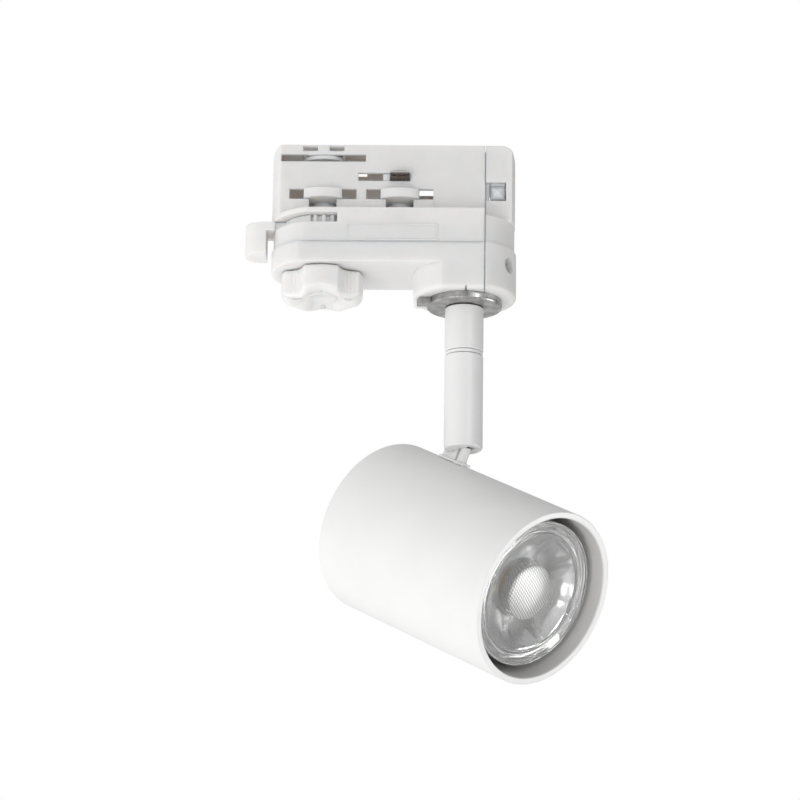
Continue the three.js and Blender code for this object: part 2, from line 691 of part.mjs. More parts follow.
// A square peg with a pyramid face, and a tall flange that the window's edges stop.
function latchPeg() {
  const half = PEG_SIZE / 2;
  const front = -BLOCK_HALF + 0.7;
  const rise = 1.3;
  const pyramid = new THREE.ConeGeometry(half * Math.SQRT2, rise, 4).rotateY(Math.PI / 4);
  pyramid.rotateX(Math.PI); // a cone points to +Y, and this one to -Y
  const flangeFront = -BLOCK_HALF + WALL + 0.1;
  return join(
    solid(pyramid.translate(PEG_X, front + 0.05 - rise / 2, PEG_Z)),
    box(PEG_X - half, PEG_X + half, front, -3.6, PEG_Z - half, PEG_Z + half),
    box(PEG_X - half, PEG_X + half, flangeFront, flangeFront + 1, PEG_Z - 4.6, PEG_Z + 5),
  );
}

function latchParts() {
  const peg = latchPeg();
  const coil = cut(
    rod(1.8, [PEG_X, -2.5, PEG_Z], [PEG_X, -0.5, PEG_Z], 16),
    rod(1.3, [PEG_X, -3, PEG_Z], [PEG_X, 0, PEG_Z], 16),
  );
  return [
    node("latch_peg_front", peg, plastic),
    node("latch_peg_rear", peg.mirror([0, 1, 0]), plastic),
    node("latch_spring_front", coil, steel),
    node("latch_spring_rear", coil.mirror([0, 1, 0]), steel),
  ];
}

// ---------------------------------------------------------------- wiring inside the adapter

function wiringParts() {
  const floor = COVER_FLOOR + WALL;
  const pitch = 7;
  const nearest = -18;
  const posts = [0, 1, 2].map((i) => nearest - i * pitch);
  const last = posts[posts.length - 1];
  const block = cut(
    box(last - 3.5, nearest + 3.5, 1, 13, floor, floor + 7),
    ...posts.map((x) => upright(1.8, floor + 2, floor + 8, x, 9, 16)),
    ...posts.map((x) => rod(1.2, [x, 0, floor + 2.5], [x, 6, floor + 2.5], 12)),
  );
  const screws = posts.map((x, i) => {
    const screw = cut(
      upright(1.6, floor + 2.2, floor + 6.4, x, 9, 16),
      box(x - 2, x + 2, 8.7, 9.3, floor + 5.8, floor + 7),
    );
    return node(`terminal_screw_${i + 1}`, screw, brass);
  });
  const kinds = [
    ["lead_live", copper, [-4, -0.4], [0, 1.9]],
    ["lead_neutral", insulation, [-3.2, -3.4], [-1.7, -1]],
    ["lead_earth", earthYellow, [1.4, -3.2], [1.7, -0.9]],
  ];
  const height = floor + 2.5;
  const leads = kinds.map(([name, colour, turn, end], i) => {
    const lane = -3 - 2.4 * i;
    const route = [
      [posts[i], 4, height],
      [posts[i], 0, height],
      [posts[i] + 3, lane, height],
      [-8, lane, height],
      [...turn, height - 2.4],
      [...end, BOSS_FLOOR + 5],
      [...end, -62],
    ];
    return node(name, lead(0.75, route, 18), colour);
  });
  return [node("terminal_block", block, ceramic), ...screws, ...leads];
}

// ---------------------------------------------------------------- the stem

// The steel ring under the boss, with a tab off to the left of its front.
function ringWasher() {
  const plate = turned([
    [0, RING_BOTTOM],
    [RING_RADIUS - 0.3, RING_BOTTOM],
    [RING_RADIUS, RING_BOTTOM + 0.4],
    [RING_RADIUS, BOSS_FLOOR],
    [0, BOSS_FLOOR],
  ]);
  const tab = new THREE.Shape();
  tab.moveTo(-10, -5.8);
  tab.lineTo(-10, -2.1);
  tab.lineTo(-16.4, -2.1);
  tab.lineTo(-15.4, -5.8);
  tab.closePath();
  const bore = upright(NIPPLE_RADIUS + 0.2, RING_BOTTOM - 1, BOSS_FLOOR + 1);
  return cut(join(plate, prism(tab, RING_BOTTOM, BOSS_FLOOR)), bore);
}

function upperStem() {
  const body = turned([
    [0, UPPER_BOTTOM],
    [STEM_RADIUS - 0.2, UPPER_BOTTOM],
    [STEM_RADIUS, UPPER_BOTTOM + 0.2],
    [STEM_RADIUS, UPPER_TOP],
    [0, UPPER_TOP],
  ]);
  return cut(
    body,
    upright(NIPPLE_RADIUS + 0.1, SWIVEL_SHOULDER, UPPER_TOP + 1, 0, 0, 24),
    upright(3.5, UPPER_BOTTOM - 1, UPPER_TOP),
  );
}

function stemParts() {
  const ring = sleeve(6.45, 3.6, LOWER_TOP + SWIVEL_SEAM, UPPER_BOTTOM - SWIVEL_SEAM, 0, 32);
  return [
    node("ring_washer", ringWasher(), steel),
    node("threaded_nipple", sleeve(NIPPLE_RADIUS, 3.6, -64, -46.5), brass),
    node("nipple_nut", nut(15, NIPPLE_RADIUS + 0.2, BOSS_FLOOR + 1.8, BOSS_FLOOR + 4.8), steel),
    node("upper_stem", upperStem(), paint),
    node("swivel_ring", ring, paint),
    node("swivel_washer", sleeve(4.7, 3.5, SWIVEL_SHOULDER + 0.02, SWIVEL_SHOULDER + 0.6), steel),
  ];
}

// The lower stem in the swivelled frame: its hinge slot is open at the back, towards -X.
function lowerStem() {
  const body = turned([
    [0, LOWER_BOTTOM],
    [STEM_RADIUS - 0.9, LOWER_BOTTOM],
    [STEM_RADIUS - 0.3, LOWER_BOTTOM + 0.3],
    [STEM_RADIUS, LOWER_BOTTOM + 0.9],
    [STEM_RADIUS, LOWER_TOP - 0.2],
    [STEM_RADIUS - 0.2, LOWER_TOP],
    [0, LOWER_TOP],
  ]);
  const slotTop = PIVOT_Z + 5.7; // above the tongue's corner when the tube hangs straight down
  return cut(
    body,
    upright(3.5, -80, LOWER_TOP + 1),
    upright(4.4, -94, -79.9, 0, 0, 24),
    upright(2, slotTop - 1, -93),
    box(-10, 5, -SLOT_HALF, SLOT_HALF, LOWER_BOTTOM - 1, slotTop),
    rod(1.55, [0, -5.4, PIVOT_Z], [0, 8, PIVOT_Z], 16),
    rod(2.5, [0, 4.9, PIVOT_Z], [0, 8, PIVOT_Z]),
  );
}

function swivelParts() {
  const hingeScrew = screwAlong([0, 4.95, PIVOT_Z], [0, -5.2, PIVOT_Z], 2.4, 1.5, 1.1);
  const washer = (near, far) =>
    cut(
      rod(3.4, [0, near, PIVOT_Z], [0, far, PIVOT_Z]),
      rod(1.6, [0, near - 1, PIVOT_Z], [0, far + 1, PIVOT_Z], 16),
    );
  const group = new THREE.Group();
  group.rotation.z = PAN;
  group.add(
    node("lower_stem", lowerStem(), paint),
    node("swivel_bolt", sleeve(3.3, 2, -79.9, -68.2), steel),
    node("swivel_nut", nut(9.6, 3.5, -70.3, -68.6), brass),
    node("hinge_screw", hingeScrew, steel),
    node("hinge_washer_near", washer(-2.1, -1.8), steel),
    node("hinge_washer_far", washer(1.8, 2.1), steel),
  );
  return group;
}

// ---------------------------------------------------------------- the hinge lug and the tube

// The lug: a tongue round the pivot, a flat foot on the tube and a threaded post through its wall.
function hingeLug() {
  const footTop = TUBE_TOP + 0.85;
  const tongue = new THREE.Shape();
  tongue.moveTo(-5.5, footTop - 0.1);
  tongue.lineTo(0.85, footTop - 0.1);
  tongue.lineTo(0.85, -1.6);
  tongue.lineTo(3.88, -1.6);
  tongue.absarc(0, 0, 4.2, -0.39, Math.PI + 0.3, false);
  tongue.closePath();
  const foot = prism(roundedBox(-5.7, -3, 5.3, 3, [1, 1, 1, 1]), TUBE_TOP + 0.05, footTop, 4);
  return cut(
    join(sidePrism(tongue, -1.45, 1.45), foot, upright(1.9, -15, footTop - 0.1, POST_X)),
    rod(1.6, [0, -5, 0], [0, 5, 0], 16),
    upright(SLEEVE_RADIUS + 0.15, -12, -1.6 - 0.2, SLEEVE_X).intersect(box(1, 9, -3, 3, -12, -1.7)),
  );
}

function spotTube() {
  const mouth = TUBE_MOUTH;
  const back = TUBE_MOUTH - TUBE_LENGTH;
  const tube = turnedOnTube(
    [
      [TUBE_BORE, back],
      [TUBE_RADIUS - 0.8, back],
      [TUBE_RADIUS, back + 0.8],
      [TUBE_RADIUS, mouth - 0.3],
      [TUBE_RADIUS - 0.3, mouth],
      [TUBE_BORE, mouth],
      [TUBE_BORE, back],
    ],
    56,
  );
  return cut(
    tube,
    upright(2.2, -14, -6, POST_X),
    upright(SLEEVE_RADIUS + 0.25, -14, -6, SLEEVE_X),
  );
}

const REAR_FACE = TUBE_MOUTH - TUBE_LENGTH + 0.6;
const CAP_THICKNESS = 2.4;
const CAP_SCREW_Y = 19;
const SOCKET_SCREW_Y = 11;

// A rod that runs along the tube, beside its axis.
const rodOnTube = (radius, x0, x1, y, sides = 20) =>
  rod(radius, [x0, y, TUBE_AXIS], [x1, y, TUBE_AXIS], sides);

function rearCap() {
  const inner = REAR_FACE + CAP_THICKNESS;
  const disc = turnedOnTube(
    [
      [0, REAR_FACE],
      [TUBE_BORE - 0.5, REAR_FACE],
      [TUBE_BORE - 0.1, REAR_FACE + 0.4],
      [TUBE_BORE - 0.1, inner],
      [0, inner],
    ],
    40,
  );
  const vents = [-9, -3, 3, 9].map((z) =>
    box(REAR_FACE - 1, inner + 1, -9, 9, TUBE_AXIS + z - 0.9, TUBE_AXIS + z + 0.9),
  );
  const screwHoles = [-1, 1].map((side) =>
    rodOnTube(1.7, REAR_FACE - 1, inner + 1, side * CAP_SCREW_Y, 16),
  );
  return cut(disc, ...vents, ...screwHoles);
}

// The bracket: a flange under the tube's top, a neck, a plate behind the socket and two arms
// that the rear cap's screws hold.
const PLATE_BACK = SOCKET_BACK - 1.4;
const FLANGE_TOP = -11.3;
const FLANGE_BOTTOM = FLANGE_TOP - 1.2;

function holderBracket() {
  const plateFront = SOCKET_BACK - 0.1;
  const capInner = REAR_FACE + CAP_THICKNESS;
  const arm = (side) => {
    const y = side * CAP_SCREW_Y;
    const post = rodOnTube(3, capInner + 0.1, plateFront, y, 16);
    return cut(post, rodOnTube(1.5, capInner - 1, plateFront + 1, y, 12));
  };
  const screwHoles = [SOCKET_SCREW_Y, CAP_SCREW_Y].flatMap((y) =>
    [-y, y].map((place) => rodOnTube(1.5, PLATE_BACK - 1, plateFront + 1, place, 12)),
  );
  const plate = cut(
    box(PLATE_BACK, plateFront, -21.5, 21.5, TUBE_AXIS - 6, TUBE_AXIS + 6),
    rodOnTube(5, PLATE_BACK - 1, plateFront + 1, 0, 16),
    ...screwHoles,
  );
  const neck = box(PLATE_BACK, plateFront, -5, 5, TUBE_AXIS + 5, FLANGE_TOP);
  const flange = cut(
    box(PLATE_BACK, 0.7, -5, 5, FLANGE_BOTTOM, FLANGE_TOP),
    upright(2.2, -13, -10, POST_X),
  );
  return join(plate, neck, flange, arm(-1), arm(1));
}

// The ceramic socket, with two arched keyways round the lamp's axis.
function lampSocket() {
  const body = box(SOCKET_BACK, SOCKET_FRONT, -14.5, 14.5, TUBE_AXIS - 8.5, TUBE_AXIS + 8.5);
  const keyway = (heading) => {
    const outline = new THREE.Shape();
    const sweep = THREE.MathUtils.degToRad(52);
    const slack = THREE.MathUtils.degToRad(32);
    outline.absarc(0, 0, PIN_SPACING / 2 + 2.7, heading - slack, heading + sweep, false);
    outline.absarc(0, 0, PIN_SPACING / 2 - 2.7, heading + sweep, heading - slack, true);
    outline.closePath();
    return outline;
  };
  const depth = 9;
  // Drawn in the plane square to the lamp's axis: the outline's X becomes Y and its Y becomes Z.
  const pocket = (heading) =>
    prism(keyway(heading), -depth, 1)
      .rotate([0, 90, 0])
      .rotate([90, 0, 0])
      .translate([SOCKET_FRONT, 0, TUBE_AXIS]);
  return cut(
    body,
    pocket(0),
    pocket(Math.PI),
    ...[-SOCKET_SCREW_Y, SOCKET_SCREW_Y].map((y) =>
      rodOnTube(1.5, SOCKET_BACK - 1, SOCKET_BACK + 7, y, 12),
    ),
  );
}

function spotParts() {
  const sleeveTube = cut(
    upright(SLEEVE_RADIUS, -17, -2.1, SLEEVE_X),
    upright(1.1, -18, -1, SLEEVE_X, 0, 12),
  );
  const pairs = [-1, 1].flatMap((side, i) => {
    const capScrew = screwAlong(
      [REAR_FACE - 0.05, side * CAP_SCREW_Y, TUBE_AXIS],
      [REAR_FACE + 9, side * CAP_SCREW_Y, TUBE_AXIS],
      2.8,
      1.4,
      1.3,
    );
    const socketScrew = screwAlong(
      [PLATE_BACK - 0.05, side * SOCKET_SCREW_Y, TUBE_AXIS],
      [SOCKET_BACK + 6, side * SOCKET_SCREW_Y, TUBE_AXIS],
      2.5,
      1.4,
    );
    const pinY = (side * PIN_SPACING) / 2;
    const contact = rodOnTube(1.9, SOCKET_FRONT - 8.9, SOCKET_FRONT - 8, pinY, 12);
    const route = [
      [PLATE_BACK - 0.4, side * 2.4, TUBE_AXIS],
      [PLATE_BACK - 3.5, side * 3.5, TUBE_AXIS + 3],
      [PLATE_BACK - 3.5, side * 7.5, TUBE_AXIS + 12],
      [PLATE_BACK + 2, side * 8, TUBE_AXIS + 19],
      [1.5, side * 4, -20],
      [SLEEVE_X, side * 0.95, -17.6],
    ];
    return [
      node(`rear_cap_screw_${i + 1}`, capScrew, steel),
      node(`socket_screw_${i + 1}`, socketScrew, steel),
      node(`socket_contact_${i + 1}`, contact, brass),
      node(`lamp_lead_${i + 1}`, lead(0.75, route, 16), insulation),
    ];
  });
  return [
    node("hinge_lug", hingeLug(), paint),
    node("lead_sleeve", sleeveTube, insulation),
    node("lug_nut", nut(7.6, 2.05, FLANGE_BOTTOM - 2.2, FLANGE_BOTTOM - 0.05, POST_X), steel),
    node("spot_tube", spotTube(), paint),
    node("rear_cap", rearCap(), paint),
    node("holder_bracket", holderBracket(), steel),
    node("lamp_socket", lampSocket(), ceramic),
    ...pairs,
  ];
}

// ---------------------------------------------------------------- the lamp

const LENS_BACK = LAMP_FRONT - 14;

function lampParts() {
  const front = LAMP_FRONT;
  const body = turnedOnTube([
    [0, LAMP_BACK + 6],
    [11, LAMP_BACK + 6],
    [12.5, LAMP_BACK + 10],
    [17, front - 22],
    [23.2, front - 8],
    [LAMP_RADIUS - 0.4, front - 5],
    [LAMP_RADIUS - 0.4, front - 2.6],
    [LAMP_RADIUS - 1.4, front - 2.6],
    [LAMP_RADIUS - 2.2, front - 6],
    [15, LENS_BACK - 4],
    [0, LENS_BACK - 4],
  ]);
  const bezel = turnedOnTube(
    [
      [21.2, front - 0.5],
      [LAMP_RADIUS - 0.5, front],
      [LAMP_RADIUS, front - 0.6],
      [LAMP_RADIUS, front - 2.4],
      [21.2, front - 2.4],
      [21.2, front - 0.5],
    ],
    40,
  );
  const lens = turnedOnTube([
    [0, LENS_BACK],
    [11.5, LENS_BACK],
    [20.9, front - 2.6],
    [20.9, front - 0.7],
    [19.4, front - 0.9],
    [11, front - 7],
    [10.7, front - 3],
    [6, front - 2.3],
    [0, front - 2],
  ]);
  const base = cut(
    turnedOnTube(
      [
        [0, LAMP_BACK],
        [10, LAMP_BACK],
        [10.6, LAMP_BACK + 1],
        [10.6, LAMP_BACK + 5.9],
        [0, LAMP_BACK + 5.9],
      ],
      24,
    ),
    ...[-1, 1].map((side) =>
      rodOnTube(1.55, LAMP_BACK - 1, LAMP_BACK + 3.1, (side * PIN_SPACING) / 2, 16),
    ),
  );
  const pin = (side) => {
    const y = (side * PIN_SPACING) / 2;
    const shank = rodOnTube(1.45, LAMP_BACK - 5, LAMP_BACK + 3, y, 16);
    return join(shank, rodOnTube(2.35, LAMP_BACK - 7, LAMP_BACK - 4.6, y));
  };
  const disc = (radius, near, far) => rodOnTube(radius, near, far, 0, 24);
  return [
    node("lamp_body", body, plastic),
    node("lamp_bezel", bezel, glass),
    node("lamp_lens", lens, glass),
    node("lamp_base", base, ceramic),
    node("lamp_pin_1", pin(-1), brass),
    node("lamp_pin_2", pin(1), brass),
    node("led_board", disc(11, LENS_BACK - 3.9, LENS_BACK - 2.6), board),
    node("led_emitter", disc(5, LENS_BACK - 2.55, LENS_BACK - 1.6), phosphor),
  ];
}

// ---------------------------------------------------------------- the assembly

const spotlight = new THREE.Group();
spotlight.add(
  ...adapterShells(),
  ...lockParts(),
  ...phaseParts(),
  ...latchParts(),
  ...wiringParts(),
  ...stemParts(),
);

const swivel = swivelParts();
spotlight.add(swivel);

const spot = new THREE.Group();
spot.position.z = PIVOT_Z;
spot.rotation.y = TILT;
spot.add(...spotParts(), ...lampParts());
swivel.add(spot);

export default spotlight;
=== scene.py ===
"""Track spotlight: the finished surfaces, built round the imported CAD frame. Metres, +Z up."""

import json
import math

import bmesh
import bpy
from mathutils import Matrix, Vector


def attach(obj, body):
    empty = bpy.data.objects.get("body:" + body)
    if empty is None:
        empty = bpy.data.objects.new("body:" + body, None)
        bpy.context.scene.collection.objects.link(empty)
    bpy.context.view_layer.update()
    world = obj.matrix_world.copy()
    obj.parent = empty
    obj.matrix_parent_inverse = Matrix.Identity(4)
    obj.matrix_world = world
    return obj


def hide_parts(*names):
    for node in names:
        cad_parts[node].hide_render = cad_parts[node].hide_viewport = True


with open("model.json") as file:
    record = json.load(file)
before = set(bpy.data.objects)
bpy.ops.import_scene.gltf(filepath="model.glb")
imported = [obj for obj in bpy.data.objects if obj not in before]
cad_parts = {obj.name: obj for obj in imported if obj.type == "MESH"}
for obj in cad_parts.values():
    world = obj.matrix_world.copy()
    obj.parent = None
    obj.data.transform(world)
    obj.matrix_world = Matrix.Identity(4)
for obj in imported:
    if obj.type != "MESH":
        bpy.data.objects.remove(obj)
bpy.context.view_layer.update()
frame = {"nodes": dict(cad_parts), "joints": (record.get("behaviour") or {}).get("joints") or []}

MM = 0.001
joints = {joint["name"]: joint for joint in frame["joints"]}

# ------------------------------------------------------------------ dimensions, in millimetres

# The blank label field on the adapter's front
LABEL = {"left": -40.4, "right": -9.1, "top": -31.3, "bottom": -37.25, "face": -16.1}
FRAME_WIDTH = 0.42
FRAME_RISE = 0.1

# The phase knob
KNOB_X = joints["phase_select"]["pos_m"][0] / MM
KNOB_TOP = -45.3
KNOB_CENTRE = -53.0  # height of the plateau in the middle of its end
KNOB_REACH = 14.1
KNOB_HOLLOW = 2.7  # how far the radius falls between the lobes
LOBE_HALF = 24.5  # degrees
PLATEAU = 0.4  # share of the knob's radius
# The end's height at shares of the radius, along a lobe's middle and along a hollow's
LOBE_KNOTS = ((PLATEAU, KNOB_CENTRE), (0.62, -53.6), (0.8, -53.5), (1.0, -52.6))
HOLLOW_KNOTS = ((PLATEAU, KNOB_CENTRE), (0.86, -55.1), (0.93, -55.0), (1.0, -53.9))
RIBS = 7  # in each hollow
RIB_DEPTH = 0.3
NUMBER_REACH = 8.9
NUMBER_SIZE = 3.6

# The tube, along its own axis from the pivot
TUBE_RADIUS = 30.0
TUBE_BORE = 27.85
TUBE_MOUTH = 59.4
TUBE_BACK = -20.2
TUBE_AXIS = -38.4  # height from the pivot, square to the axis
TUBE_TOP = TUBE_AXIS + TUBE_RADIUS
LINING_BACK = 30.0

# The sleeve that the lead runs in, next to the hinge
SLEEVE_X = 2.85
SLEEVE_TOP = -2.1
SLEEVE_BOTTOM = -17.0
SLEEVE_RADIUS = 1.75
SLEEVE_BORE = 1.1

# The lamp
LAMP_FRONT = 54.6
LAMP_RADIUS = 25.0
LENS_BACK = LAMP_FRONT - 14
CENTRE_RADIUS = 9.6
CENTRE_FRONT = LAMP_FRONT - 0.6
CENTRE_CROWN = 1.2
BUMP_PITCH = 1.05
BUMP_HEIGHT = 0.09
PETALS = 8
FUNNEL_INNER = 10.3
FUNNEL_OUTER = 19.4
FUNNEL_BOTTOM = LAMP_FRONT - 6.6
FUNNEL_RISE = 5.6
LIP_RADIUS = 20.9
RIM_RIDGES = 4
FLUTES = 28
FLUTE_DEPTH = 0.3
REFLECTOR_THICKNESS = 0.35

# ------------------------------------------------------------------ frames

PIVOT = Vector(joints["tube_tilt"]["pos_m"])


def spot_frame():
    """The tilted tube's frame: X to the mouth, Y along the hinge, Z out of the tube's top."""
    ahead = Vector(joints["lamp_twist"]["axis"]).normalized()
    hinge = Vector(joints["tube_tilt"]["axis"]).normalized()
    up = ahead.cross(hinge).normalized()
    turn = Matrix((ahead, hinge, up)).transposed().to_4x4()
    return Matrix.Translation(PIVOT) @ turn @ Matrix.Scale(MM, 4)


SPOT = spot_frame()
ON_TUBE = SPOT @ Matrix.Translation((0, 0, TUBE_AXIS)) @ Matrix.Rotation(math.radians(90), 4, "Y")
UPRIGHT = Matrix.Scale(MM, 4)

# ------------------------------------------------------------------ materials


class Surface:
    """A principled material and the nodes that vary it over the object's own space."""

    def __init__(self, name, colour, roughness, **sockets):
        self.material = bpy.data.materials.new(name)
        self.material.use_nodes = True
        self.tree = self.material.node_tree
        self.link = self.tree.links.new
        self.shader = self.tree.nodes["Principled BSDF"]
        self.shader.inputs["Base Color"].default_value = (*colour, 1)
        self.shader.inputs["Roughness"].default_value = roughness
        self.set_inputs(self.shader, sockets)
        self.place = self.add("TexCoord").outputs["Object"]

    @staticmethod
    def set_inputs(node, values):
        for socket, value in values.items():
            node.inputs[socket.replace("_", " ")].default_value = value

    def add(self, kind, **values):
        """A new node with its inputs set."""
        node = self.tree.nodes.new("ShaderNode" + kind)
        self.set_inputs(node, values)
        return node

    def noise(self, size_mm, detail=3.0, stretch=(1, 1, 1)):
        """Noise whose features are about size_mm across, drawn out along an axis by stretch."""
        spread = self.add("Mapping", Scale=stretch)
        self.link(self.place, spread.inputs["Vector"])
        made = self.add("TexNoise", Scale=1 / (size_mm * MM), Detail=detail)
        self.link(spread.outputs["Vector"], made.inputs["Vector"])
        return made.outputs["Fac"]

    def colours(self, fac, stops):
        """Base colour from a ramp over fac, with (position, colour) stops."""
        ramp = self.add("ValToRGB")
        elements = ramp.color_ramp.elements
        while len(elements) < len(stops):
            elements.new(0.5)
        for element, (position, colour) in zip(elements, stops):
            element.position = position
            element.color = (*colour, 1)
        self.link(fac, ramp.inputs["Fac"])
        self.link(ramp.outputs["Color"], self.shader.inputs["Base Color"])
        return self

    def facing_down(self):
        """1 on faces that look down, 0 on the others; the mask for painted shade underneath."""
        split = self.add("SeparateXYZ")
        self.link(self.add("TexCoord").outputs["Normal"], split.inputs["Vector"])
        spread = self.add("MapRange", From_Min=-0.1, From_Max=-0.6)
        self.link(split.outputs["Z"], spread.inputs["Value"])
        return spread.outputs["Result"]

    def lattice(self, place, pitch):
        """Distance from the nearest point of a hexagonal lattice in a frame's XY plane."""
        inverse = place.inverted()
        across, upward = Vector(inverse[0]), Vector(inverse[1])
        row = pitch * math.sqrt(3) / 2
        cell = self.add("CombineXYZ")
        for socket, axis in (("X", across / pitch - upward / (2 * row)), ("Y", upward / row)):
            along = self.add("VectorMath")
            along.operation = "DOT_PRODUCT"
            along.inputs[1].default_value = axis.xyz
            self.link(self.place, along.inputs[0])
            shifted = self.add("Math")
            shifted.inputs[1].default_value = axis.w
            self.link(along.outputs["Value"], shifted.inputs[0])
            self.link(shifted.outputs["Value"], cell.inputs[socket])
        nearest = self.add("TexVoronoi")
        nearest.voronoi_dimensions = "2D"
        self.set_inputs(nearest, {"Scale": 1.0, "Randomness": 0.0})
        self.link(cell.outputs["Vector"], nearest.inputs["Vector"])
        return nearest.outputs["Distance"]

    def gloss(self, fac, low, high):
        """Roughness from low to high over fac."""
        spread = self.add("MapRange", From_Min=0.3, From_Max=0.7, To_Min=low, To_Max=high)
        self.link(fac, spread.inputs["Value"])
        self.link(spread.outputs["Result"], self.shader.inputs["Roughness"])
        return self

    def relief(self, *layers):
        """Bump from (fac, height in millimetres) layers, one over the other."""
        below = None
        for fac, height in layers:
            bump = self.add("Bump", Distance=height * MM, Strength=1.0)
            self.link(fac, bump.inputs["Height"])
            if below:
                self.link(below, bump.inputs["Normal"])
            below = bump.outputs["Normal"]
        self.link(below, self.shader.inputs["Normal"])
        return self


def tints(colour, spread):
    """Two ramp stops a little darker and a little lighter than a colour."""
    return [
        (0.35, tuple(c * (1 - spread) for c in colour)),
        (0.65, tuple(min(1.0, c * (1 + spread)) for c in colour)),
    ]


def moulded(name, colour, low, high, grain=0.006, glow=0.0):
    """Moulded plastic: faint clouding, a fine spark-eroded grain and slow changes of gloss.

    Glow is the share of light that scatters under the surface.
    """
    made = Surface(name, colour, low, Subsurface_Weight=glow, Subsurface_Scale=3.0 * MM)
    made.set_inputs(made.shader, {"Subsurface_Radius": (1.0, 0.86, 0.76)})
    made.colours(made.noise(9.0, 4), tints(colour, 0.018))
    made.gloss(made.noise(2.6), low, high)
    return made.relief((made.noise(0.32, 2), grain), (made.noise(5.0, 2), grain * 2)).material


def powder_coat(name, colour):
    """Powder coat: orange peel a millimetre across, over a finer grain."""
    made = Surface(name, colour, 0.4, Coat_Weight=0.12, Coat_Roughness=0.35)
    made.colours(made.noise(14.0, 3), tints(colour, 0.012))
    made.gloss(made.noise(3.5), 0.36, 0.46)
    return made.relief((made.noise(1.3, 2), 0.011), (made.noise(0.3, 2), 0.004)).material


def bare_metal(name, colour, spread, low, high, stretch=(1, 1, 1), patch=2.2):
    """Metal with patches of tone and a fine relief, drawn out into lines by stretch."""
    scratch = 0.004
    made = Surface(name, colour, low, Metallic=1.0)
    made.colours(made.noise(patch, 5), tints(colour, spread))
    made.gloss(made.noise(patch * 0.7, 4), low, high)
    return made.relief((made.noise(0.5, 3, stretch), scratch), (made.noise(1.8, 3), scratch)).material


def contact_metal():
    """Nickelled spring strip, bright, with painted shade: faces that look down are painted dull and dark.
    """
    bright = (0.62, 0.6, 0.58)
    made = Surface("contact_metal", bright, 0.2, Metallic=1.0)
    # painted shade: the colour turns dark on faces that look down
    made.colours(made.facing_down(), [(0.2, bright), (0.7, (0.17, 0.148, 0.135))])
    made.gloss(made.noise(1.0, 4), 0.14, 0.34)
    return made.relief((made.noise(0.7, 3), 0.012)).material


def insulation(name, colour):
    """The soft plastic round a wire."""
    made = Surface(name, colour, 0.5)
    made.colours(made.noise(4.0), tints(colour, 0.05))
    made.gloss(made.noise(1.2), 0.42, 0.58)
    return made.relief((made.noise(0.6, 2), 0.008)).material


def fired_ceramic():
    """Unglazed steatite: dense, matt and faintly speckled."""
    colour = (0.83, 0.8, 0.72)
    made = Surface("ceramic", colour, 0.62)
    specks = [(0.3, (0.6, 0.56, 0.48)), (0.42, colour), (0.75, (0.87, 0.85, 0.79))]
    made.colours(made.noise(0.7, 5), specks)
    made.gloss(made.noise(2.0), 0.55, 0.72)
    return made.relief((made.noise(0.35, 3), 0.012)).material


def clear_plastic(name, colour, low, high, clear, ripple, ior):
    """Optical plastic, clear to a share of its light and milky to the rest, with a faint ripple."""
    made = Surface(name, colour, low, Transmission_Weight=clear, IOR=ior)
    made.colours(made.noise(6.0), tints(colour, 0.01))
    made.gloss(made.noise(1.5), low, high)
    return made.relief((made.noise(3.0, 3), ripple)).material


def bumped_lens():
    """The central lens: a painted highlight on each bump, and painted shade in the valleys between them."""
    made = Surface("lamp_centre_clear", (0.98, 0.98, 0.97), 0.03, Transmission_Weight=0.36, IOR=1.8)
    valleys = made.lattice(ON_TUBE, BUMP_PITCH)
    # painted highlight on the bump tops and painted shade in the valleys, from the distance to the lattice
    made.colours(valleys, [(0.22, (1.0, 1.0, 0.99)), (0.5, (0.46, 0.455, 0.45))])
    made.gloss(valleys, 0.02, 0.1)
    return made.relief((made.noise(3.0, 3), 0.004)).material


def phosphor():
    """The yellow coat of the LED."""
    colour = (0.93, 0.6, 0.12)
    made = Surface("phosphor", colour, 0.55)
    made.colours(made.noise(1.1, 4), [(0.3, (0.86, 0.5, 0.08)), (0.7, (0.96, 0.68, 0.17))])
    made.gloss(made.noise(0.8), 0.4, 0.6)
    return made.relief((made.noise(0.6), 0.02)).material


ADAPTER = moulded("adapter_plastic", (0.836, 0.818, 0.804), 0.46, 0.56, glow=0.8)
# The label frame's copy of the adapter plastic: lighter, as a painted highlight on its raised edges, and
# with no glow under the surface
LABEL_FRAME_HIGHLIGHT = moulded("label_frame_painted_highlight", (0.87, 0.865, 0.86), 0.4, 0.5)
MOVING = moulded("moving_plastic", (0.83, 0.825, 0.818), 0.4, 0.5, 0.004, glow=0.8)
STEM = powder_coat("stem_paint", (0.84, 0.84, 0.836))
TUBE = powder_coat("tube_paint", (0.84, 0.839, 0.835))
# A darker copy of the tube paint for inside the mouth: painted shade
MOUTH_SHADE = powder_coat("tube_mouth_painted_shade", (0.7, 0.692, 0.68))
ZINC = bare_metal("zinc_steel", (0.52, 0.53, 0.53), 0.34, 0.2, 0.46, (0.12, 1, 1))
RING = bare_metal("ring_steel", (0.35, 0.348, 0.342), 0.3, 0.2, 0.4, patch=4.0)
NICKEL = bare_metal("contact_metal", (0.72, 0.7, 0.68), 0.1, 0.1, 0.22)
BRASS = bare_metal("brass", (0.78, 0.58, 0.26), 0.1, 0.2, 0.36)
MIRROR = bare_metal("reflector", (0.9, 0.9, 0.9), 0.05, 0.08, 0.2, patch=1.4)
CERAMIC = fired_ceramic()
POLYAMIDE = moulded("terminal_plastic", (0.78, 0.76, 0.7), 0.5, 0.6)
LAMP_PLASTIC = moulded("lamp_plastic", (0.78, 0.78, 0.77), 0.42, 0.52)
